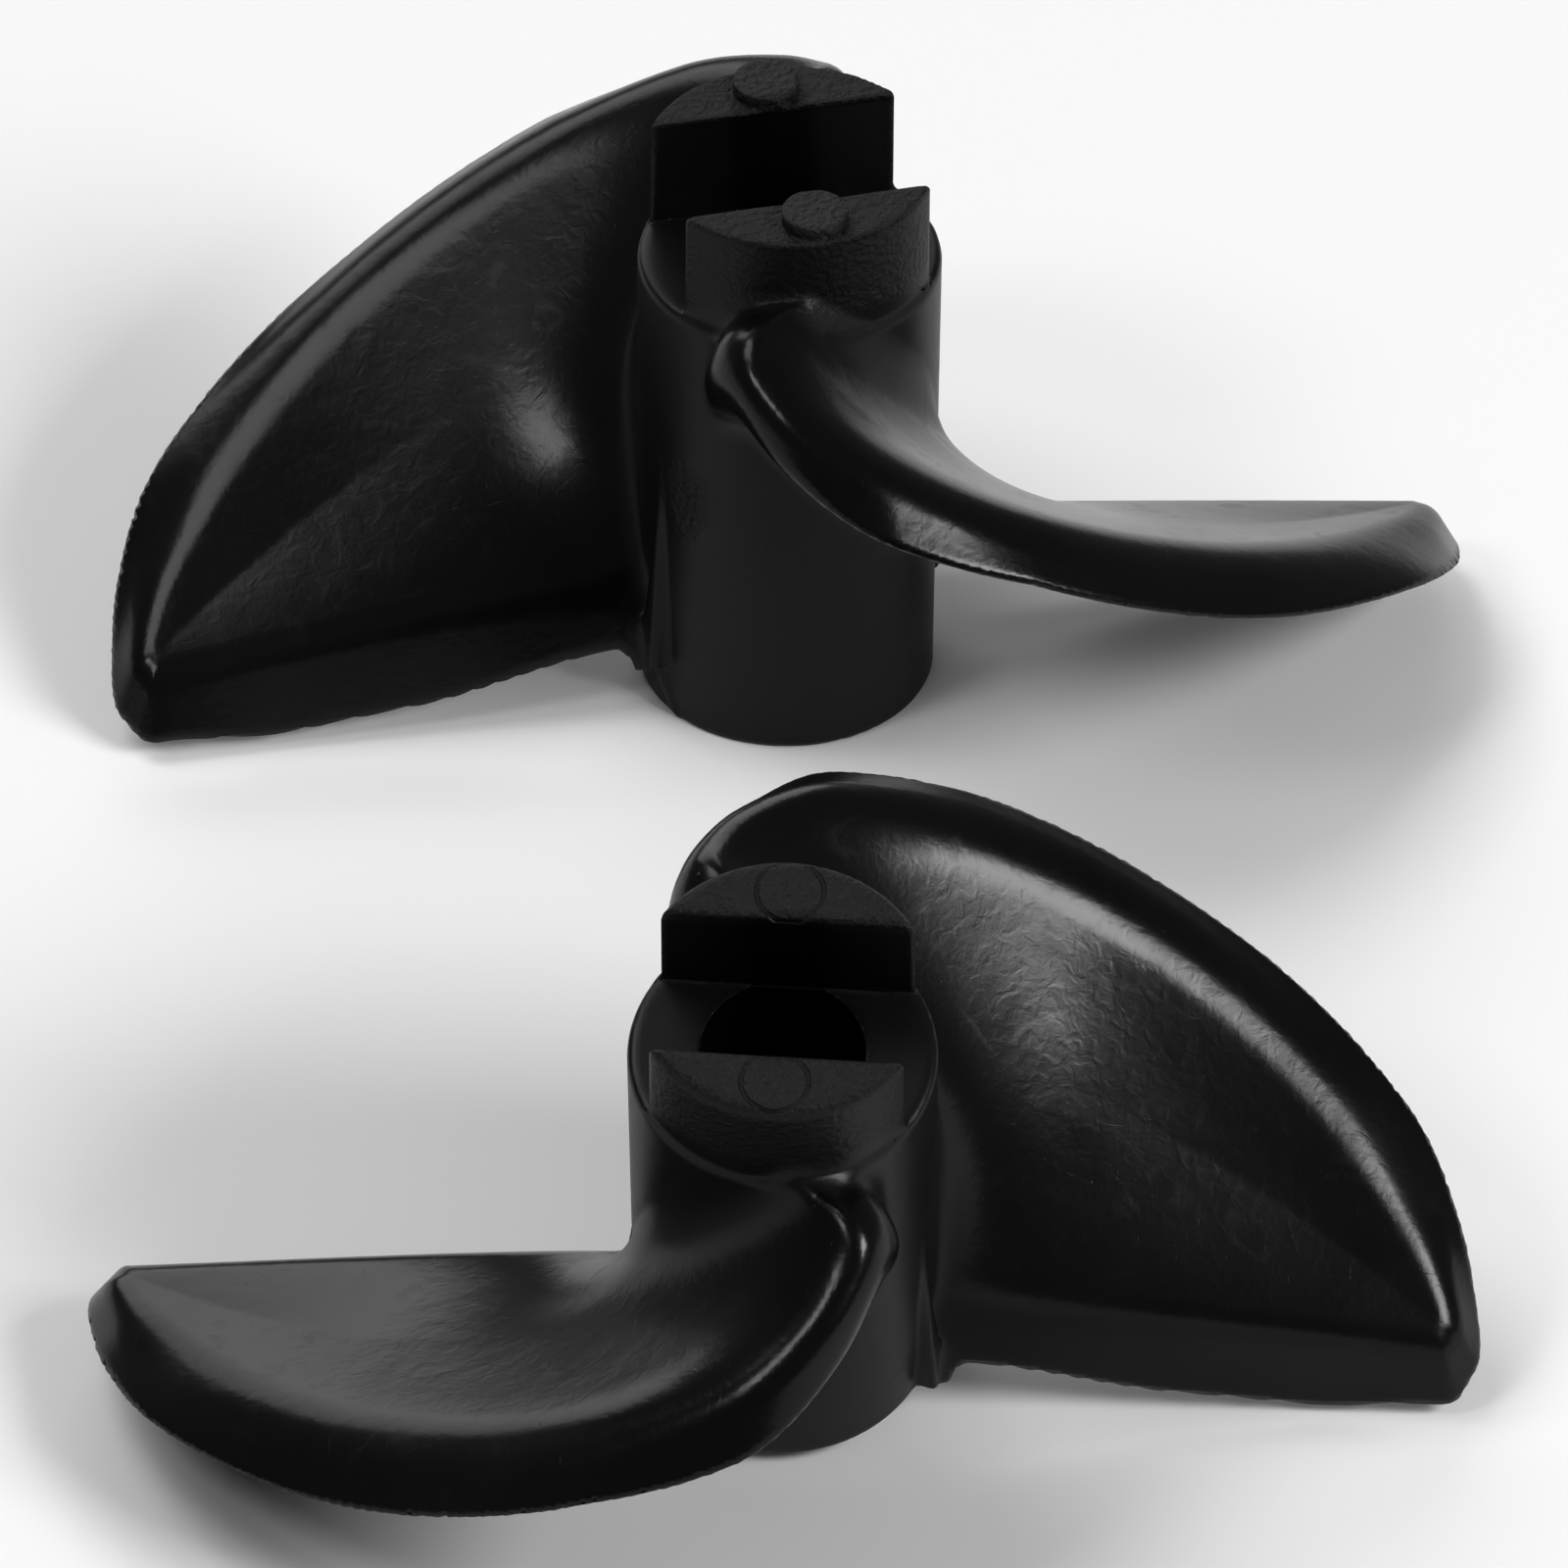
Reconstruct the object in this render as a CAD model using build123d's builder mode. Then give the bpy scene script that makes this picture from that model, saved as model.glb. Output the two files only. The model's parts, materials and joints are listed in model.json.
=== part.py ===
"""A handed pair of two-blade boat propellers, each a one-piece plastic moulding.

The left-hand propeller, at the back, stands upright on the flat foot of its hub.
The right-hand one, in front, has its blades lower on the hub, so their tips reach
below the foot and it rocks forward until the front of the foot touches down.
All sizes are in millimetres and +Z is up. The origin is on the standing surface,
under the middle of the pair's outline.
"""
import os
from math import atan2, degrees, hypot

from build123d import *

# Hub barrel, with a little moulding draft
HUB_FOOT_RADIUS = 6.0
HUB_RIM_RADIUS = 6.2
HUB_HEIGHT = 21.1
HUB_FOOT_BEVEL = 0.25
HUB_RIM_BEVEL = 0.15
BORE_RADIUS = 3.3

# Drive lugs, which stand on the hub either side of the slot
LUG_RADIUS = 6.0
LUG_HEIGHT = 4.9
SLOT_WIDTH = 6.1
EJECTOR_RADIUS = 1.35
EJECTOR_BOSS_HEIGHT = 0.55
EJECTOR_RING_DEPTH = 0.1
EJECTOR_RING_WIDTH = 0.12
EJECTOR_OFFSET = 4.45
SLOT_TURN = 2.0

# Blades: the upper face is a screw surface that drops towards the tip
SCREW_LEAD = 50.0
TRAILING_EDGE_HEIGHT = 7.35
TIP_DROP = 0.153
TIP_DROP_FADE = 0.0044
HORN_ROOT_TOP = 22.7
HORN_RISE = 0.4
HORN_TOP = 24.1
CAMBER = 0.3
TRAILING_EDGE_Y = 1.1
TRAILING_WALL_LEAN = 1.2
RIM_THICKNESS = 2.7
RIM_BULGE = 0.25
NOSE_EXTRA = 1.6
NOSE_FROM = 6.9
NOSE_TO = -4.9

# Blade sections across the span: position along the span, inner end of the
# section, outer edge of the upper face, how far the lower edge stands out,
# depth of the inner end, and how far the ends of the blade are rounded off
BLADE_SECTIONS = (
    (-4.9, -5.2, -7.4, 0.2, 3.0, 0.9),
    (-4.1, -4.4, -8.7, 0.8, 4.0, 0.2),
    (-1.9, -3.4, -11.8, 1.8, 5.0, 0.0),
    (1.9, -2.6, -13.9, 2.5, 5.0, 0.0),
    (6.9, 0.3, -14.5, 2.7, 4.0, 0.0),
    (12.3, TRAILING_EDGE_Y, -13.6, 2.7, 3.1, 0.0),
    (17.8, TRAILING_EDGE_Y, -11.2, 2.5, 3.2, 0.0),
    (22.7, TRAILING_EDGE_Y, -7.5, 2.1, 3.3, 0.0),
    (25.9, TRAILING_EDGE_Y, -3.7, 1.7, 3.4, 0.0),
    (27.3, TRAILING_EDGE_Y, -1.4, 1.3, 3.3, 0.1),
    (28.2, 0.9, 0.2, 0.4, 2.9, 0.7),
)

# Placing: each foot's centre on the surface, and how the propeller is turned
REAR_FOOT = (-0.15, 25.6, 0)
REAR_TURN = (0, 0, 11.2)
FRONT_FOOT = (0, -20.9, 2.46)
FRONT_TURN = (19.5, -0.4, -1.6)
LEFT_HAND = 1
RIGHT_HAND = -1
RIGHT_HAND_BLADE_DROP = 2.0
STANDING = (Align.CENTER, Align.CENTER, Align.MIN)


def upper_face_height(along, across):
    """Height of the blade's upper face above the hub's foot."""
    angle = degrees(atan2(-across, along))
    beyond_hub = max(hypot(along, across) - HUB_RIM_RADIUS, 0)
    drop = (TIP_DROP - TIP_DROP_FADE * angle) * beyond_hub
    screw = TRAILING_EDGE_HEIGHT + SCREW_LEAD * angle / 360 - drop
    return min(screw, HORN_ROOT_TOP + HORN_RISE * beyond_hub, HORN_TOP)


def make_hub(seat):
    """Round barrel with a through bore."""
    with BuildPart(seat) as hub:
        Cone(HUB_FOOT_RADIUS, HUB_RIM_RADIUS, HUB_HEIGHT, align=STANDING)
        foot_edge = hub.edges().filter_by(GeomType.CIRCLE).sort_by(SortBy.RADIUS)[0]
        chamfer(foot_edge, HUB_FOOT_BEVEL)
        rim_edge = hub.edges().filter_by(GeomType.CIRCLE).sort_by(SortBy.RADIUS)[-1]
        chamfer(rim_edge, HUB_RIM_BEVEL)
        with BuildSketch(seat):
            Circle(BORE_RADIUS)
        extrude(amount=HUB_HEIGHT, mode=Mode.SUBTRACT)
    return hub.part


def make_lug(seat, side, raised_boss, edge_bevel):
    """Half-moon lug on one side of the slot, with its ejector mark on top."""
    top = seat.offset(HUB_HEIGHT + LUG_HEIGHT)
    slot_edge = SLOT_WIDTH / 2
    with BuildPart(seat) as lug:
        with BuildSketch(seat.offset(HUB_HEIGHT)):
            Circle(LUG_RADIUS)
            with Locations((0, side * (slot_edge - LUG_RADIUS))):
                Rectangle(2 * LUG_RADIUS, 2 * LUG_RADIUS, mode=Mode.SUBTRACT)
        extrude(amount=LUG_HEIGHT)
        top_face = lug.faces().sort_by(Axis(seat.origin, seat.z_dir))[-1]
        chamfer(top_face.edges(), edge_bevel)
        with BuildSketch(top):
            with Locations((0, side * EJECTOR_OFFSET)):
                Circle(EJECTOR_RADIUS)
                if not raised_boss:
                    Circle(EJECTOR_RADIUS - EJECTOR_RING_WIDTH, mode=Mode.SUBTRACT)
        if raised_boss:
            extrude(amount=EJECTOR_BOSS_HEIGHT)
        else:
            extrude(amount=-EJECTOR_RING_DEPTH, mode=Mode.SUBTRACT)
    return lug.part


def rim_thickness(along):
    """Height of the rim's wall, which grows into a thick nose at the hub."""
    return RIM_THICKNESS + NOSE_EXTRA * max(NOSE_FROM - along, 0) / (NOSE_FROM - NOSE_TO)


def section_outline(hand, lower, section):
    """Points round one blade section: upper face, bulging rim wall, lower face."""
    along, inner, outer, flare, inner_depth, rounding = section
    middle = (inner + outer) / 2
    cut = lower + rounding
    inner_top = upper_face_height(along, inner) - cut
    middle_top = upper_face_height(along, middle) - cut - CAMBER
    outer_top = upper_face_height(along, outer) - cut
    inner_low = inner_top - inner_depth + 2 * rounding
    middle_low = middle_top - (inner_depth + rim_thickness(along)) / 2 + 2 * rounding
    outer_low = outer_top - rim_thickness(along) + 2 * rounding
    wall_height = (outer_top + outer_low) / 2 + RIM_BULGE
    upper = [(inner, inner_top), (middle, middle_top), (outer, outer_top)]
    wall = [(outer - flare / 2 - RIM_BULGE, wall_height)]
    under = [(outer - flare, outer_low), (middle, middle_low)]
    under += [(inner + TRAILING_WALL_LEAN, inner_low)]
    return [(hand * across, height) for across, height in upper + wall + under]


def make_blade(seat, hand, lower):
    """Scoop-like blade, lofted through sections across its span and cut by the hub."""
    with BuildPart(seat) as blade:
        for section in BLADE_SECTIONS:
            points = section_outline(hand, lower, section)
            section_plane = Plane(
                origin=seat.from_local_coords((section[0], 0, 0)),
                x_dir=seat.y_dir,
                z_dir=seat.x_dir,
            )
            with BuildSketch(section_plane):
                with BuildLine():
                    Spline(points[0:3])
                    ThreePointArc(points[2:5])
                    Spline(points[4:7])
                    Line(points[6], points[0])
                make_face()
        loft()
        Cone(
            HUB_FOOT_RADIUS, HUB_RIM_RADIUS, HUB_HEIGHT, align=STANDING, mode=Mode.SUBTRACT
        )
        with BuildSketch(seat.offset(HUB_HEIGHT)):
            Circle(LUG_RADIUS)
        extrude(amount=LUG_HEIGHT, mode=Mode.SUBTRACT)
    return blade.part


def save(piece, name):
    """Label one piece and write its STEP file."""
    piece.label = name
    export_step(piece, f"parts/{name}.step")
    print(name, round(piece.volume, 1), len(piece.solids()))


def save_propeller(name, foot, turn, hand, lower, raised_boss, edge_bevel):
    """Write the five pieces of one propeller, standing at its foot."""
    place = Location(foot, turn)
    seat = Plane(place)
    opposite_seat = Plane(place * Location((0, 0, 0), (0, 0, 180)))
    slot_seat = Plane(place * Location((0, 0, 0), (0, 0, hand * SLOT_TURN)))
    save(make_hub(seat), f"{name}_hub")
    save(make_lug(slot_seat, 1, raised_boss, edge_bevel), f"{name}_rear_lug")
    save(make_lug(slot_seat, -1, raised_boss, edge_bevel), f"{name}_front_lug")
    save(make_blade(seat, hand, lower), f"{name}_blade_a")
    save(make_blade(opposite_seat, hand, lower), f"{name}_blade_b")


os.makedirs("parts", exist_ok=True)
save_propeller("left_hand", REAR_FOOT, REAR_TURN, LEFT_HAND, 0, True, 0.12)
save_propeller(
    "right_hand", FRONT_FOOT, FRONT_TURN, RIGHT_HAND, RIGHT_HAND_BLADE_DROP, False, 0.3
)
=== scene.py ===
"""Looks of a handed pair of moulded two-blade boat propellers.

Each propeller is one smooth moulding. Its skin is described here as a signed field
in millimetres, in the left-hand propeller's own frame: foot centre at the origin,
drive end up. Dual contouring turns the field into a mesh, which is then split into
the hub, the two lugs and the two blades. The right-hand propeller is the mirror
image, with its blades lower on the hub. The Blender scene itself is in metres.
"""

import json
from math import cos, pi, radians, sin

import bmesh
import bpy
import numpy as np
from mathutils import Euler, Matrix, Vector


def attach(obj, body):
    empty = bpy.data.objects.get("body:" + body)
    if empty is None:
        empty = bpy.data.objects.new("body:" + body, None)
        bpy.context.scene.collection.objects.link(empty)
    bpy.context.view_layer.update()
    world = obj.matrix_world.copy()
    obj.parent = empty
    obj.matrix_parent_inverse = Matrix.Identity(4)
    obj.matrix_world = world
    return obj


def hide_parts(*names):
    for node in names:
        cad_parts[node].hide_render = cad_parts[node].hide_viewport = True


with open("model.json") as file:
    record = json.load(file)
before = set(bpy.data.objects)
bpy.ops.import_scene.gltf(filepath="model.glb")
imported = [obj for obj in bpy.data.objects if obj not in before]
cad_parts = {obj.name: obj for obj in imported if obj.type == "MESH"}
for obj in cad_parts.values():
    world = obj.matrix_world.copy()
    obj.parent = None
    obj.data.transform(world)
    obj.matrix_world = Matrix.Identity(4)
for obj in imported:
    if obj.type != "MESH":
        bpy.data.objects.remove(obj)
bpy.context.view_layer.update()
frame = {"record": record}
record = frame["record"]

MM = 0.001

# Contouring grid, which holds one propeller, and how strongly a vertex is drawn to
# the middle of its cell's crossings
VOXEL = 0.24
GRID_LOW = np.array((-29.5, -18.5, -3.2))
GRID_HIGH = np.array((29.5, 18.5, 27.5))
MIDDLE_PULL = 0.03

# How far the rims between neighbouring pieces turn inwards
RIM_DEPTH = 0.8

# Hub barrel and drive lugs
HUB_FOOT_RADIUS = 6.0
HUB_RIM_RADIUS = 6.2
HUB_HEIGHT = 21.1
HUB_FOOT_ROUNDING = 0.35
HUB_RIM_ROUNDING = 0.5
BORE_RADIUS = 3.3
CORE_RADIUS = 4.5
LUG_RADIUS = 6.0
LUG_TOP = 26.0
LUG_CORNER_ROUNDING = 0.3
LUG_FILLET = 0.25
HALF_SLOT = 3.05
CRISP_ROUNDING = 0.12
EJECTOR_RADIUS = 1.35
EJECTOR_BOSS_TOP = 26.55
EJECTOR_OFFSET = 4.45
SLOT_TURN = radians(2)

# Blades: the upper face is a screw surface that drops towards the tip
SCREW_LEAD = 50.0
TRAILING_EDGE_HEIGHT = 7.35
TIP_DROP = 0.153
TIP_DROP_FADE = 0.0044
HORN_ROOT_TOP = 23.4
HORN_RISE = 0.3
HORN_TOP = 24.7
FACE_BLEND = 0.5
CAMBER = 0.4
CAMBER_SPREAD = 14
ROOT_RISE = 3.2
ROOT_REACH = 1.8

# Rim wall: how far it leans out and how thick it is, from the trailing edge to the
# leading edge, where it grows into a nose at the hub
WALL_FLARE = 1.15
LEADING_FLARE = 1.5
RIM_THICKNESS = 2.75
TRAILING_EXTRA = 0.5
TIP_THINNING = 0.9
ROOT_EXTRA = 2.2
ROOT_THINNING = 1.2
NOSE_EXTRA = 1.6
NOSE_FROM = 6.9
NOSE_TO = -4.9

# Rounding of the blade's upper and lower edges and of its corner with the hub
UPPER_ROUNDING = 0.7
LEADING_ROUNDING = 0.7
NOSE_ROUNDING = 1.6
LOWER_ROUNDING = 0.5
NOSE_LOWER_ROUNDING = 1.3
FILLET = 0.9
FILLET_ABOVE = 0.6

# Outline of a blade's upper face seen from above: the straight trailing edge runs
# out at this distance from the middle line, then the curve goes round the tip and
# back along the leading edge to the horn, and ends inside the hub
TRAILING_EDGE_Y = 1.1
TRAILING_EDGE_END = 26.5
LEADING_CURVE = (
    (26.95, 0.3),
    (26.5, -1.4),
    (25.3, -3.7),
    (22.5, -7.5),
    (17.8, -11.2),
    (12.3, -13.6),
    (6.9, -14.5),
    (1.9, -13.9),
    (-1.9, -11.8),
    (-3.9, -9.2),
    (-4.6, -7.6),
    (-4.2, -6.2),
    (-3.0, -4.5),
    (0.0, -1.0),
)

# Thin fin on the hub beside the root of each trailing edge
FIN_ANGLE = radians(21)
FIN_HALF_WIDTH = 0.6
FIN_FOOT = 2.4
FIN_TOP = 12.5
FIN_REACH = 6.85
FIN_ROUNDING = 0.3
FIN_FILLET = 0.35

# How each propeller is turned, in degrees, about its own x, then y, then z
TURN = {"left_hand": (0, 0, 11.2), "right_hand": (19.5, -0.4, -1.6)}
BORE_MIDDLE = 10.5
BLADE_DROP = {"left_hand": 0.0, "right_hand": 2.0}
LUG_EDGE = {"left_hand": 0.25, "right_hand": 0.6}
ROUGH_PATCH = np.array((-4.9, -3.6, 11.5))


# ---------------------------------------------------------------- signed field


def smooth_min(first, second, reach):
    """Smaller of two fields, rounded over where they are within reach."""
    share = np.clip(0.5 + 0.5 * (second - first) / reach, 0, 1)
    return second + (first - second) * share - reach * share * (1 - share)


def smooth_max(first, second, reach):
    return -smooth_min(-first, -second, reach)


def ramp(value, start, end):
    """Smooth step from 0 at start to 1 at end."""
    share = np.clip((value - start) / (end - start), 0, 1)
    return share * share * (3 - 2 * share)


def blade_outline(steps=24):
    """Closed outline of the upper face as a fine polyline."""
    curve = np.array(LEADING_CURVE)
    before = np.vstack([(TRAILING_EDGE_END - 0.2, TRAILING_EDGE_Y + 0.3), curve[:-1]])
    after = np.vstack([curve[1:], curve[-1:]])
    slopes = (after - before) / 2
    points = [(2.0, TRAILING_EDGE_Y), (TRAILING_EDGE_END, TRAILING_EDGE_Y)]
    for start, end, go, stop in zip(curve, curve[1:], slopes, slopes[1:]):
        for t in np.arange(steps) / steps:
            points.append(
                (2 * t**3 - 3 * t**2 + 1) * start
                + (t**3 - 2 * t**2 + t) * go
                + (3 * t**2 - 2 * t**3) * end
                + (t**3 - t**2) * stop
            )
    points.append(curve[-1])
    return np.array(points)


# Grid, seen from above, that holds the distance to the outline
MAP_STEP = 0.25
MAP_START = np.array((-32.0, -20.0))
MAP_SIZE = (257, 161)
MAP_X, MAP_Y = [MAP_START[i] + MAP_STEP * np.arange(MAP_SIZE[i]) for i in (0, 1)]


def outline_map():
    """Signed distance to the blade outline: below 0 inside it."""
    start = blade_outline()
    along = np.roll(start, -1, axis=0) - start
    square_length = (along**2).sum(1)
    result = np.empty(MAP_SIZE)
    for row, x in enumerate(MAP_X):
        to = np.stack([np.full_like(MAP_Y, x), MAP_Y], 1)[:, None] - start
        share = np.clip((to * along).sum(2) / square_length, 0, 1)
        nearest = np.sqrt(((to - share[..., None] * along) ** 2).sum(2)).min(1)
        spans = (to[..., 1] >= 0) != (to[..., 1] - along[:, 1] >= 0)
        side = to[..., 0] * along[:, 1] - to[..., 1] * along[:, 0]
        crossing = spans & ((side < 0) == (along[:, 1] > 0))
        result[row] = np.where(crossing.sum(1) % 2 == 1, -nearest, nearest)
    return result


def soften(values, passes=20):
    """Values averaged with their neighbours, which removes creases."""
    for _ in range(passes):
        for axis in (0, 1):
            around = np.roll(values, 1, axis) + np.roll(values, -1, axis)
            values = 0.5 * values + 0.25 * around
    return values


def crease_free(values):
    """Outline map with the creases taken out near the hub, where the nose is."""
    x, y = np.meshgrid(MAP_X, MAP_Y, indexing="ij")
    near_hub = ramp(-np.hypot(x, y), -13, -9)
    return values + near_hub * (soften(values) - values)


OUTLINE_MAP = crease_free(outline_map())


def cubic_weights(t):
    """Catmull-Rom weights of four neighbours."""
    return (
        (-t + 2 * t**2 - t**3) / 2,
        (2 - 5 * t**2 + 3 * t**3) / 2,
        (t + 4 * t**2 - 3 * t**3) / 2,
        (t**3 - t**2) / 2,
    )


def outline_distance(x, y):
    """Smoothly interpolated distance to the blade outline."""
    u = np.clip((x - MAP_START[0]) / MAP_STEP, 1, MAP_SIZE[0] - 3.001)
    v = np.clip((y - MAP_START[1]) / MAP_STEP, 1, MAP_SIZE[1] - 3.001)
    i = u.astype(int)
    j = v.astype(int)
    total = 0
    for a, weight_a in enumerate(cubic_weights(u - i)):
        for b, weight_b in enumerate(cubic_weights(v - j)):
            total = total + weight_a * weight_b * OUTLINE_MAP[i + a - 1, j + b - 1]
    return total


def blade_field(x, y, z, drop):
    """One blade, and the size of the fillet where it meets the hub."""
    radius = np.hypot(x, y) + 1e-6
    beyond_hub = np.maximum(radius - HUB_RIM_RADIUS, 0)
    angle = np.degrees(np.arctan2(-y, x))
    edge = outline_distance(x, y)
    to_leading = ramp(-y, -1, 8)
    near_root = ramp(-radius, -16, -9)

    # Upper face, which is lifted at the hub and levels off at the horn
    fall = (TIP_DROP - TIP_DROP_FADE * angle) * beyond_hub
    screw = TRAILING_EDGE_HEIGHT + SCREW_LEAD * angle / 360 - fall
    horn = np.minimum(HORN_ROOT_TOP + HORN_RISE * beyond_hub, HORN_TOP)
    root = ROOT_RISE * np.exp(-beyond_hub / ROOT_REACH) * ramp(angle, -5, 40)
    bare = smooth_min(screw, horn, FACE_BLEND)
    raised = smooth_min(screw + root, horn, FACE_BLEND)
    scoop = CAMBER * (1 - np.exp(-(np.minimum(edge, 0) ** 2) / CAMBER_SPREAD))
    face = raised - drop - scoop

    # Thickness below the face
    thick = RIM_THICKNESS + TRAILING_EXTRA * (1 - to_leading)
    thick = thick - TIP_THINNING * ramp(radius, 21, 27)
    thick = thick + raised - bare
    thick = thick + ROOT_EXTRA * ramp(angle, 20, 70) * ramp(-radius, -11, -6)
    thick = thick - ROOT_THINNING * (1 - ramp(angle, 10, 40)) * ramp(-radius, -16, -7)
    thick = thick + NOSE_EXTRA * np.clip((NOSE_FROM - x) / (NOSE_FROM - NOSE_TO), 0, 1)

    # Face, rim wall and underside, rounded into one another
    lean = 1 / np.sqrt(1 + (SCREW_LEAD / (2 * pi) / np.maximum(radius, 4)) ** 2)
    flare = (WALL_FLARE + LEADING_FLARE * to_leading) * (0.25 + 0.75 * ramp(x, -5.5, 1.5))
    depth = face - z
    top = -depth * lean
    under = (depth - thick) * lean
    wall = edge - flare * np.clip(depth / thick, -0.2, 1.3)
    wall = wall / np.hypot(1, flare / thick)
    rounding = UPPER_ROUNDING + (LEADING_ROUNDING + NOSE_ROUNDING * near_root) * to_leading
    lower_rounding = LOWER_ROUNDING + NOSE_LOWER_ROUNDING * near_root * ramp(angle, 60, 100)
    blade = smooth_max(smooth_max(top, wall, rounding), under, lower_rounding)

    # The core of the hub and the space just under its foot are kept free
    above_foot = np.minimum(0.4 - z, HUB_RIM_RADIUS - radius)
    blade = np.maximum(np.maximum(blade, CORE_RADIUS - radius), above_foot)
    fillet = FILLET + FILLET_ABOVE * ramp(-depth, -1.2, 0.8) * ramp(angle, -5, 40)
    return blade, fillet


def hub_field(x, y, z, lug_edge):
    """Barrel with its two lugs, before the bore and the slot are cut."""
    radius = np.hypot(x, y)
    shell = radius - HUB_FOOT_RADIUS - (HUB_RIM_RADIUS - HUB_FOOT_RADIUS) * z / HUB_HEIGHT
    barrel = smooth_max(shell, z - HUB_HEIGHT, HUB_RIM_ROUNDING)
    barrel = smooth_max(barrel, -z, HUB_FOOT_ROUNDING)
    sides = smooth_max(radius - LUG_RADIUS, HALF_SLOT - np.abs(y), LUG_CORNER_ROUNDING)
    lug = np.maximum(smooth_max(sides, z - LUG_TOP, lug_edge), HUB_HEIGHT - 1 - z)
    return barrel, lug


def fin_field(x, y, z, drop):
    """Small upright fin on the barrel, tapering upwards."""
    out = x * cos(FIN_ANGLE) + y * sin(FIN_ANGLE)
    side = y * cos(FIN_ANGLE) - x * sin(FIN_ANGLE)
    rise = np.clip((z + drop - FIN_FOOT) / (FIN_TOP - FIN_FOOT), 0, 1)
    width = np.abs(side) - FIN_HALF_WIDTH * (1 - rise)
    reach = out - (FIN_REACH - (FIN_REACH - HUB_FOOT_RADIUS) * rise)
    ends = np.maximum(FIN_FOOT - drop - z, z + drop - FIN_TOP)
    ends = np.maximum(ends, CORE_RADIUS - out)
    return np.maximum(smooth_max(width, reach, FIN_ROUNDING), ends)


def propeller_fields(points, hand):
    """Fields of the hub, lugs, blades and whole propeller at some points."""
    x, y, z = points[..., 0], points[..., 1], points[..., 2]
    drop = BLADE_DROP[hand]
    slot_x = x * cos(SLOT_TURN) + y * sin(SLOT_TURN)
    slot_y = y * cos(SLOT_TURN) - x * sin(SLOT_TURN)
    barrel, lug = hub_field(slot_x, slot_y, z, LUG_EDGE[hand])
    blade_a, fillet_a = blade_field(x, y, z, drop)
    blade_b, fillet_b = blade_field(-x, -y, z, drop)
    blades = np.minimum(blade_a, blade_b)
    fillet = np.where(blade_a < blade_b, fillet_a, fillet_b)
    fillet = fillet * (1 - 0.75 * ramp(z, HUB_HEIGHT - 1, HUB_HEIGHT + 3))
    hub = smooth_min(barrel, lug, LUG_FILLET)
    fins = np.minimum(fin_field(x, y, z, drop), fin_field(-x, -y, z, drop))
    hub = smooth_min(hub, fins, FIN_FILLET)
    whole = smooth_min(hub, blades, fillet)
    radius = np.hypot(x, y)
    bore = np.maximum(radius - BORE_RADIUS, z - HUB_HEIGHT - 0.1)
    slot = np.maximum(np.abs(slot_y) - HALF_SLOT, HUB_HEIGHT - z)
    whole = smooth_max(np.maximum(whole, -bore), -slot, CRISP_ROUNDING)
    if hand == "left_hand":
        boss = np.hypot(slot_x, np.abs(slot_y) - EJECTOR_OFFSET) - EJECTOR_RADIUS
        ends = np.maximum(z - EJECTOR_BOSS_TOP, LUG_TOP - 1 - z)
        whole = np.minimum(whole, smooth_max(boss, ends, CRISP_ROUNDING))
    return {"hub": barrel, "lug": lug, "a": blade_a, "b": blade_b, "whole": whole}


def slope(points, hand, step=0.03):
    """Unit outward normal of the field at some points."""
    result = np.empty_like(points)
    for axis in range(3):
        shift = np.zeros(3)
        shift[axis] = step
        ahead = propeller_fields(points + shift, hand)["whole"]
        result[:, axis] = ahead - propeller_fields(points - shift, hand)["whole"]
    return result / (np.linalg.norm(result, axis=1)[:, None] + 1e-12)


# ------------------------------------------------------------ dual contouring


def slice_values(x, y_steps, z_steps, hand):
    """Field over one slice of the grid."""
    y, z = np.meshgrid(y_steps, z_steps, indexing="ij")
    points = np.stack([np.full_like(y, x), y, z], -1)
    return propeller_fields(points, hand)["whole"]


def edge_crossings(values, grid_start, hand):
    """Grid edges that the surface crosses: axis, index, crossing, start inside or not."""
    found = []
    for axis in range(3):
        size = values.shape[axis]
        low = np.take(values, range(size - 1), axis)
        high = np.take(values, range(1, size), axis)
        index = np.argwhere((low < 0) != (high < 0))
        start = low[tuple(index.T)]
        end = high[tuple(index.T)]
        shares = [np.zeros(len(index)), np.ones(len(index))]
        ends = [start, end]
        step = np.zeros(3)
        step[axis] = VOXEL
        corner = grid_start + VOXEL * index
        for attempt in range(3):
            share = shares[0] + (shares[1] - shares[0]) * ends[0] / (ends[0] - ends[1])
            if attempt > 0:
                share = np.clip(share, shares[0] + 0.02, shares[1] - 0.02)
            point = corner + share[:, None] * step
            value = propeller_fields(point, hand)["whole"]
            before = (value < 0) == (start < 0)
            shares = [np.where(before, share, shares[0]), np.where(before, shares[1], share)]
            ends = [np.where(before, value, ends[0]), np.where(before, ends[1], value)]
        found.append((axis, index, point, start < 0))
    return found


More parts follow.
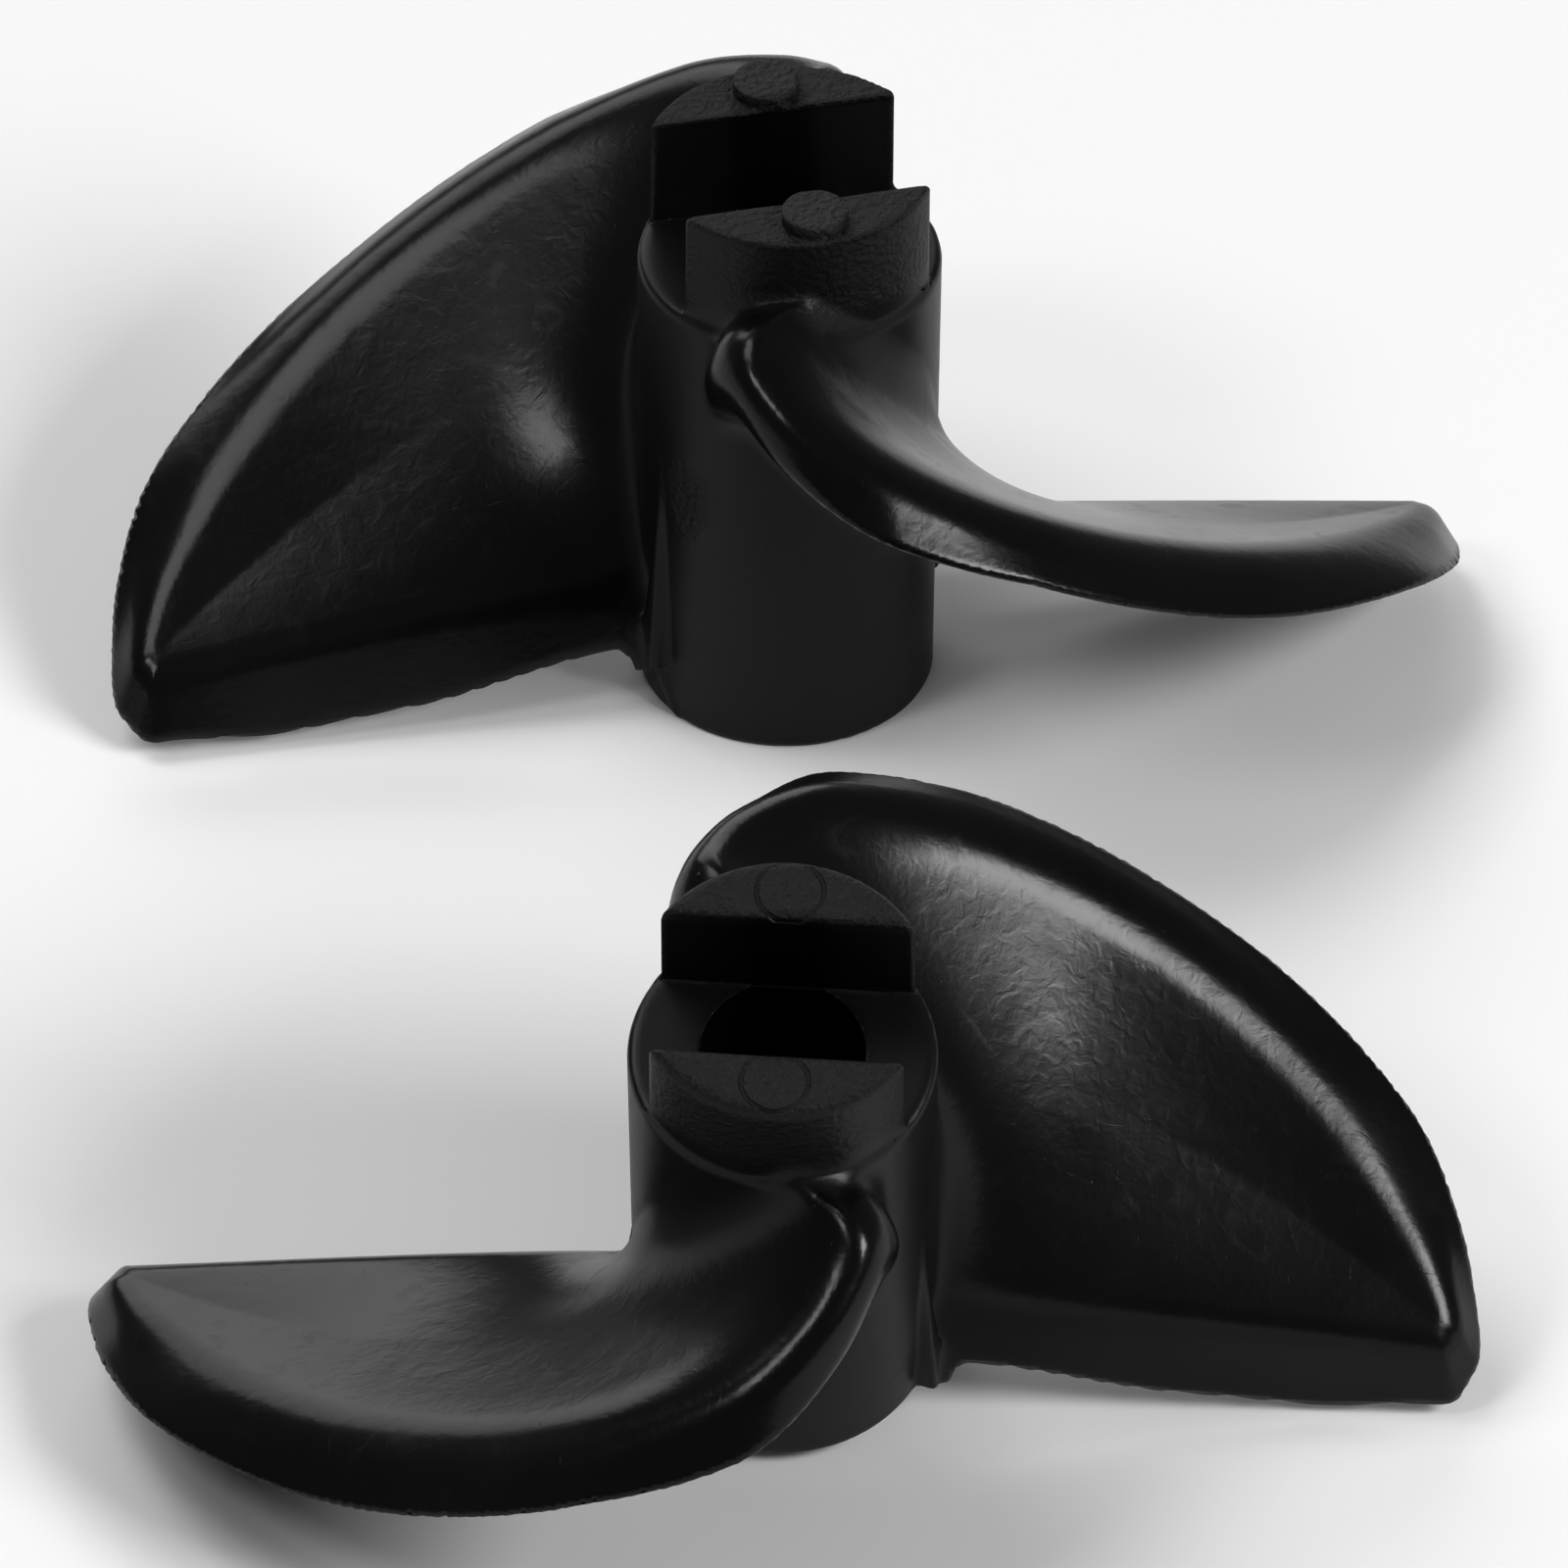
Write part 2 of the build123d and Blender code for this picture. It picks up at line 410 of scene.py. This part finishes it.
def contour(hand):
    """Vertices and quads of a propeller's skin, in its left-hand frame."""
    steps = [np.arange(low, high, VOXEL) for low, high in zip(GRID_LOW, GRID_HIGH)]
    values = np.stack([slice_values(x, steps[1], steps[2], hand) for x in steps[0]])
    shape = values.shape
    cells, normals, points, quads, outward = [], [], [], [], []
    for axis, index, point, inside_first in edge_crossings(values, GRID_LOW, hand):
        normal = slope(point, hand)
        around = []
        b, c = (axis + 1) % 3, (axis + 2) % 3
        for back_b, back_c in ((1, 1), (0, 1), (0, 0), (1, 0)):
            cell = index.copy()
            cell[:, b] -= back_b
            cell[:, c] -= back_c
            around.append(np.ravel_multi_index(tuple(cell.T), shape))
        for cell in around:
            cells.append(cell)
            normals.append(normal)
            points.append(point)
        quads.append(np.stack(around, 1))
        outward.append(inside_first)
    cells = np.concatenate(cells)
    normals = np.vstack(normals)
    points = np.vstack(points)
    used, slot_of = np.unique(cells, return_inverse=True)
    count = np.bincount(slot_of)

    def total(weights):
        return np.bincount(slot_of, weights)

    middle = np.stack([total(points[:, i]) / count for i in range(3)], 1)
    offset = (normals * (points - middle[slot_of])).sum(1)
    pull = np.stack([total(normals[:, i] * offset) for i in range(3)], 1)
    square = np.empty((len(used), 3, 3))
    for i in range(3):
        for j in range(3):
            square[:, i, j] = total(normals[:, i] * normals[:, j])
    square += MIDDLE_PULL * count[:, None, None] * np.eye(3)
    move = np.linalg.solve(square, pull[..., None])[..., 0]
    corner = GRID_LOW + VOXEL * np.stack(np.unravel_index(used, shape), 1)
    vertices = np.clip(middle + move, corner, corner + VOXEL)
    quads = np.searchsorted(used, np.vstack(quads))
    outward = np.concatenate(outward)
    quads[~outward] = quads[~outward][:, ::-1]
    return vertices, quads


# -------------------------------------------------------------------- meshes


def finish_and_shade_of(points, hand):
    """How polished and how grained each point is, and how much painted shade it gets inside the
    bore, 0 to 1.
    """
    fields = propeller_fields(points, hand)
    height = points[:, 2]
    radius = np.hypot(points[:, 0], points[:, 1])
    polished = ramp(np.minimum(fields["hub"], fields["lug"]), 0.1, 1.6)
    on_lug = ramp(height, HUB_HEIGHT + 0.3, HUB_HEIGHT + 1.5) * (1 - polished)
    lug_wall = 0.35 * ramp(radius, HALF_SLOT + 2.5, LUG_RADIUS)
    grained = on_lug * np.maximum(ramp(height, LUG_TOP - 0.25, LUG_TOP - 0.05), lug_wall)
    if hand == "left_hand":
        to_patch = np.linalg.norm((points - ROUGH_PATCH) / (1, 1, 1.6), axis=1)
        grained = np.maximum(grained, 0.7 * (1 - ramp(to_patch, 0.5, 1.7)))
    # Painted shade: the colour is darkened inside the bore, where shade falls
    bore_shade = 1 - ramp(radius, BORE_RADIUS, BORE_RADIUS + 0.5)
    return np.stack([polished, grained, bore_shade], 1)


def corner_normals(vertices, quads, hand):
    """Normals just inside each face, so that crisp edges stay crisp."""
    middle = vertices[quads].mean(1, keepdims=True)
    inside = vertices[quads] + 0.25 * (middle - vertices[quads])
    return slope(inside.reshape(-1, 3), hand).reshape(-1, 4, 3)


def region_of(points, hand):
    """Name of the part of the propeller that each point belongs to."""
    fields = propeller_fields(points, hand)
    blades = np.minimum(fields["a"], fields["b"])
    radius = np.hypot(points[:, 0], points[:, 1])
    rear_side = points[:, 1] > 0 if hand == "left_hand" else points[:, 1] < 0
    names = np.where(fields["a"] < fields["b"], "blade_a", "blade_b").astype(object)
    nearer_hub = np.minimum(fields["hub"], fields["lug"]) < blades
    at_hub = (radius < HUB_RIM_RADIUS + 0.02) | nearer_hub
    names[at_hub] = "hub"
    on_lug = at_hub & (points[:, 2] > HUB_HEIGHT + 0.12) & (radius > HALF_SLOT - 0.1)
    names[on_lug & rear_side] = "rear_lug"
    names[on_lug & ~rear_side] = "front_lug"
    return names


def close_openings(mesh, normals):
    """Turn the rims where a piece meets its neighbours inwards and cap them."""
    shell = bmesh.new()
    shell.from_mesh(mesh)
    shell.normal_update()
    rims = [edge for edge in shell.edges if edge.is_boundary]
    inward = {}
    for edge in rims:
        for corner in edge.verts:
            inward[corner.co.copy().freeze()] = RIM_DEPTH * MM * corner.normal
    made = bmesh.ops.extrude_edge_only(shell, edges=rims)["geom"]
    for corner in [item for item in made if isinstance(item, bmesh.types.BMVert)]:
        corner.co -= inward[corner.co.copy().freeze()]
    inner = [item for item in made if isinstance(item, bmesh.types.BMEdge) and item.is_boundary]
    bmesh.ops.holes_fill(shell, edges=inner, sides=0)
    shell.to_mesh(mesh)
    shell.free()
    mesh.shade_smooth()
    everywhere = np.zeros((len(mesh.loops), 3))
    # The outer skin comes first and keeps its normals; the faces just made are flat
    everywhere[: len(normals)] = normals
    for polygon in mesh.polygons[len(normals) // 4 :]:
        everywhere[list(polygon.loop_indices)] = polygon.normal
    mesh.normals_split_custom_set(everywhere)


def add_piece(name, spots, finishes_and_shade, quads, normals, place, material):
    """Mesh object made of some of the propeller's faces, put in its place."""
    used, new_index = np.unique(quads, return_inverse=True)
    turn = np.array(place.to_3x3())
    mesh = bpy.data.meshes.new(name)
    vertices = spots[used] * MM @ turn.T + np.array(place.translation)
    mesh.from_pydata(vertices.tolist(), [], new_index.reshape(quads.shape).tolist())
    spot = mesh.attributes.new("spot", "FLOAT_VECTOR", "POINT")
    spot.data.foreach_set("vector", spots[used].astype(np.float32).ravel())
    # The third value of this attribute is the painted shade inside the bore
    finish_and_shade = mesh.attributes.new("finish_and_shade", "FLOAT_VECTOR", "POINT")
    finish_and_shade.data.foreach_set("vector", finishes_and_shade[used].astype(np.float32).ravel())
    close_openings(mesh, normals.reshape(-1, 3) @ turn.T)
    mesh.materials.append(material)
    piece = bpy.data.objects.new(name, mesh)
    bpy.context.scene.collection.objects.link(piece)
    return piece


def add_propeller(hand, materials):
    """All pieces of one propeller, each replacing the CAD node of its name."""
    spots, quads = contour(hand)
    normals = corner_normals(spots, quads, hand)
    regions = region_of(spots[quads].mean(1), hand)
    finishes_and_shade = finish_and_shade_of(spots, hand)
    if hand == "right_hand":
        spots = spots * (1, -1, 1)
        normals = normals[:, ::-1] * (1, -1, 1)
        quads = quads[:, ::-1]
    bore = next(mount for mount in record["mounts"] if mount["name"] == f"{hand}_bore")
    foot = Vector(bore["pos_m"]) + Vector(bore["axis"]) * BORE_MIDDLE * MM
    turn = Euler([radians(angle) for angle in TURN[hand]], "ZYX")
    place = Matrix.Translation(foot) @ turn.to_matrix().to_4x4()
    for region in ("hub", "rear_lug", "front_lug", "blade_a", "blade_b"):
        mine = regions == region
        kind = "lug" if "lug" in region else region.split("_")[0]
        name = f"{hand}_{region}_skin"
        piece = add_piece(
            name, spots, finishes_and_shade, quads[mine], normals[mine], place, materials[kind]
        )
        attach(piece, f"{hand}_propeller")
        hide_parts(f"{hand}_{region}")


# ----------------------------------------------------------------- materials


def noise(tree, vector, scale, detail=4.0, distortion=0.0, stretch=None, turn=(0, 0, 0)):
    """Noise texture's factor, at a scale given per millimetre."""
    if stretch:
        mapping = tree.nodes.new("ShaderNodeMapping")
        mapping.inputs["Scale"].default_value = stretch
        mapping.inputs["Rotation"].default_value = turn
        tree.links.new(vector, mapping.inputs["Vector"])
        vector = mapping.outputs["Vector"]
    node = tree.nodes.new("ShaderNodeTexNoise")
    node.inputs["Scale"].default_value = scale
    node.inputs["Detail"].default_value = detail
    node.inputs["Distortion"].default_value = distortion
    tree.links.new(vector, node.inputs["Vector"])
    return node.outputs["Fac"]


def remap(tree, value, low, high, new_low, new_high):
    """Value mapped smoothly from one range to another, and held at its ends."""
    node = tree.nodes.new("ShaderNodeMapRange")
    node.interpolation_type = "SMOOTHSTEP"
    settings = {"From Min": low, "From Max": high, "To Min": new_low, "To Max": new_high}
    for label, setting in settings.items():
        node.inputs[label].default_value = setting
    tree.links.new(value, node.inputs["Value"])
    return node.outputs["Result"]


def combine(tree, operation, first, second):
    """Maths on two values, each a socket or a number."""
    node = tree.nodes.new("ShaderNodeMath")
    node.operation = operation
    for socket, value in zip(node.inputs, (first, second)):
        if isinstance(value, (int, float)):
            socket.default_value = value
        else:
            tree.links.new(value, socket)
    return node.outputs["Value"]


def mix_colours(tree, share, first, second):
    """Colour between two, each a socket or a colour."""
    node = tree.nodes.new("ShaderNodeMix")
    node.data_type = "RGBA"
    tree.links.new(share, node.inputs[0])
    for socket, value in zip(node.inputs[6:8], (first, second)):
        if isinstance(value, tuple):
            socket.default_value = value
        else:
            tree.links.new(value, socket)
    return node.outputs[2]


def bump(tree, height, depth, normal=None):
    """Normal of a height map whose full range is this many millimetres deep."""
    node = tree.nodes.new("ShaderNodeBump")
    node.inputs["Strength"].default_value = 1.0
    node.inputs["Distance"].default_value = depth * MM
    tree.links.new(height, node.inputs["Height"])
    if normal:
        tree.links.new(normal, node.inputs["Normal"])
    return node.outputs["Normal"]


def ring_mark(tree, spot):
    """1 on the thin ring that an ejector pin leaves on each lug, 0 elsewhere."""
    turned = tree.nodes.new("ShaderNodeVectorRotate")
    turned.rotation_type = "Z_AXIS"
    turned.inputs["Angle"].default_value = SLOT_TURN
    tree.links.new(spot, turned.inputs["Vector"])
    split = tree.nodes.new("ShaderNodeSeparateXYZ")
    tree.links.new(turned.outputs["Vector"], split.inputs["Vector"])
    across = combine(tree, "ABSOLUTE", split.outputs["Y"], 0)
    across = combine(tree, "SUBTRACT", across, EJECTOR_OFFSET)
    across = combine(tree, "MULTIPLY", across, across)
    along = combine(tree, "MULTIPLY", split.outputs["X"], split.outputs["X"])
    distance = combine(tree, "SQRT", combine(tree, "ADD", along, across), 0)
    off = combine(tree, "ABSOLUTE", combine(tree, "SUBTRACT", distance, EJECTOR_RADIUS), 0)
    on_top = remap(tree, split.outputs["Z"], LUG_TOP - 0.3, LUG_TOP - 0.2, 0, 1)
    return combine(tree, "MULTIPLY", remap(tree, off, 0.05, 0.12, 1, 0), on_top)


def moulded_plastic(name, ringed=False):
    """Black moulded plastic: polished blades, a satin barrel and grained lugs."""
    material = bpy.data.materials.new(name)
    material.use_nodes = True
    tree = material.node_tree
    shader = tree.nodes["Principled BSDF"]
    spot = tree.nodes.new("ShaderNodeAttribute")
    spot.attribute_name = "spot"
    spot = spot.outputs["Vector"]
    finish_and_shade = tree.nodes.new("ShaderNodeAttribute")
    finish_and_shade.attribute_name = "finish_and_shade"
    split = tree.nodes.new("ShaderNodeSeparateXYZ")
    tree.links.new(finish_and_shade.outputs["Vector"], split.inputs["Vector"])
    polished, grained, bore_shade = split.outputs

    cloud = noise(tree, spot, 0.12, 3, 0.6)
    scuff = remap(tree, noise(tree, spot, 0.6, 8, 1.5), 0.55, 0.75, 0, 1)
    hairline = noise(tree, spot, 1.0, 2, 0.2, (9, 0.3, 3), (0.4, 0.2, 0.9))
    crossing = noise(tree, spot, 1.0, 2, 0.2, (0.35, 8, 3), (0.1, 0.5, 0.3))
    hairline = combine(tree, "MAXIMUM", hairline, crossing)
    scratch = remap(tree, hairline, 0.7, 0.78, 0, 1)
    dust = remap(tree, noise(tree, spot, 2.9, 2), 0.78, 0.82, 0, 1)

    rough = combine(tree, "SUBTRACT", 0.34, combine(tree, "MULTIPLY", polished, 0.17))
    for mark, share in ((grained, 0.16), (scuff, 0.06), (scratch, 0.06), (cloud, 0.1)):
        rough = combine(tree, "ADD", rough, combine(tree, "MULTIPLY", mark, share))
    tree.links.new(rough, shader.inputs["Roughness"])

    shade = combine(tree, "MULTIPLY", combine(tree, "ADD", cloud, grained), 0.6)
    colour = mix_colours(tree, shade, (0.0015, 0.0015, 0.0018, 1), (0.008, 0.008, 0.0085, 1))
    colour = mix_colours(tree, dust, colour, (0.05, 0.05, 0.05, 1))
    # Painted shade: the colour is made darker still inside the bore
    colour = mix_colours(tree, bore_shade, colour, (0.0008, 0.0008, 0.0008, 1))

    normal = bump(tree, noise(tree, spot, 0.22, 2, 0.4), 0.04)
    ripple = combine(tree, "MULTIPLY", noise(tree, spot, 1.6, 5, 0.8), polished)
    normal = bump(tree, ripple, 0.011, normal)
    grain = combine(tree, "MULTIPLY", noise(tree, spot, 3.4, 5), grained)
    normal = bump(tree, grain, 0.24, normal)
    normal = bump(tree, scratch, -0.0015, normal)
    if ringed:
        mark = ring_mark(tree, spot)
        colour = mix_colours(tree, mark, colour, (0.0, 0.0, 0.0, 1))
        normal = bump(tree, mark, -0.08, normal)
    tree.links.new(colour, shader.inputs["Base Color"])
    tree.links.new(normal, shader.inputs["Normal"])
    shader.inputs["Specular IOR Level"].default_value = 0.27
    return material


MATERIALS = {kind: moulded_plastic(f"{kind}_black_plastic") for kind in ("hub", "lug", "blade")}
MARKED = {**MATERIALS, "lug": moulded_plastic("marked_lug_black_plastic", ringed=True)}


# --------------------------------------------------------------------- stage

VIEW_ELEVATION = 38.5
VIEW_WIDTH = 64.0
VIEW_DISTANCE = 2000.0
VIEW_ROLL = 0.5
SENSOR_WIDTH = 36.0


def add_stage():
    """Pale floor."""
    material = bpy.data.materials.new("pale_floor")
    material.use_nodes = True
    shader = material.node_tree.nodes["Principled BSDF"]
    shader.inputs["Base Color"].default_value = (0.75, 0.75, 0.75, 1)
    shader.inputs["Roughness"].default_value = 0.6
    mesh = bpy.data.meshes.new("floor")
    half = 2.5
    corners = [(-half, -half, 0), (half, -half, 0), (half, half, 0), (-half, half, 0)]
    mesh.from_pydata(corners, [], [(0, 1, 2, 3)])
    mesh.materials.append(material)
    floor = bpy.data.objects.new("floor", mesh)
    bpy.context.scene.collection.objects.link(floor)


def add_light(name, place, size, power):
    """Soft light aimed at the middle of the object."""
    light = bpy.data.lights.new(name, "AREA")
    light.shape = "RECTANGLE"
    light.size, light.size_y = size
    light.energy = power
    lamp = bpy.data.objects.new(name, light)
    bpy.context.scene.collection.objects.link(lamp)
    lamp.location = place
    aim = Vector((0, 0, 0.01)) - lamp.location
    lamp.rotation_euler = aim.to_track_quat("-Z", "Y").to_euler()


def add_camera():
    """Long lens at the photograph's viewing angle."""
    camera = bpy.data.cameras.new("camera")
    camera.sensor_width = SENSOR_WIDTH
    camera.lens = SENSOR_WIDTH * VIEW_DISTANCE / VIEW_WIDTH
    camera.clip_end = 10
    viewer = bpy.data.objects.new("camera", camera)
    bpy.context.scene.collection.objects.link(viewer)
    aim = Vector((-0.19, 17.25, 0)) * MM
    tilt = radians(VIEW_ELEVATION)
    viewer.location = aim + Vector((0, -cos(tilt), sin(tilt))) * VIEW_DISTANCE * MM
    look = (aim - viewer.location).to_track_quat("-Z", "Y")
    roll = Euler((0, 0, radians(VIEW_ROLL))).to_quaternion()
    viewer.rotation_euler = (look @ roll).to_euler()
    bpy.context.scene.camera = viewer


def add_world():
    """Even pale surroundings."""
    world = bpy.data.worlds.new("studio")
    world.use_nodes = True
    background = world.node_tree.nodes["Background"]
    background.inputs["Color"].default_value = (1, 1, 1, 1)
    background.inputs["Strength"].default_value = 0.15
    bpy.context.scene.world = world


add_propeller("left_hand", MATERIALS)
add_propeller("right_hand", MARKED)
add_stage()
add_light("overhead_light", (-0.33, 0.15, 0.69), (0.42, 0.4), 2.6)
add_light("back_light", (-0.16, 0.7, 0.36), (0.8, 0.4), 2.4)
add_light("right_light", (0.48, -0.27, 0.43), (0.32, 0.2), 4.2)
add_light("left_light", (-0.37, -0.25, 0.54), (0.15, 0.15), 0.8)
add_camera()
add_world()
bpy.context.scene.view_settings.view_transform = "Standard"
bpy.context.scene.view_settings.gamma = 0.85
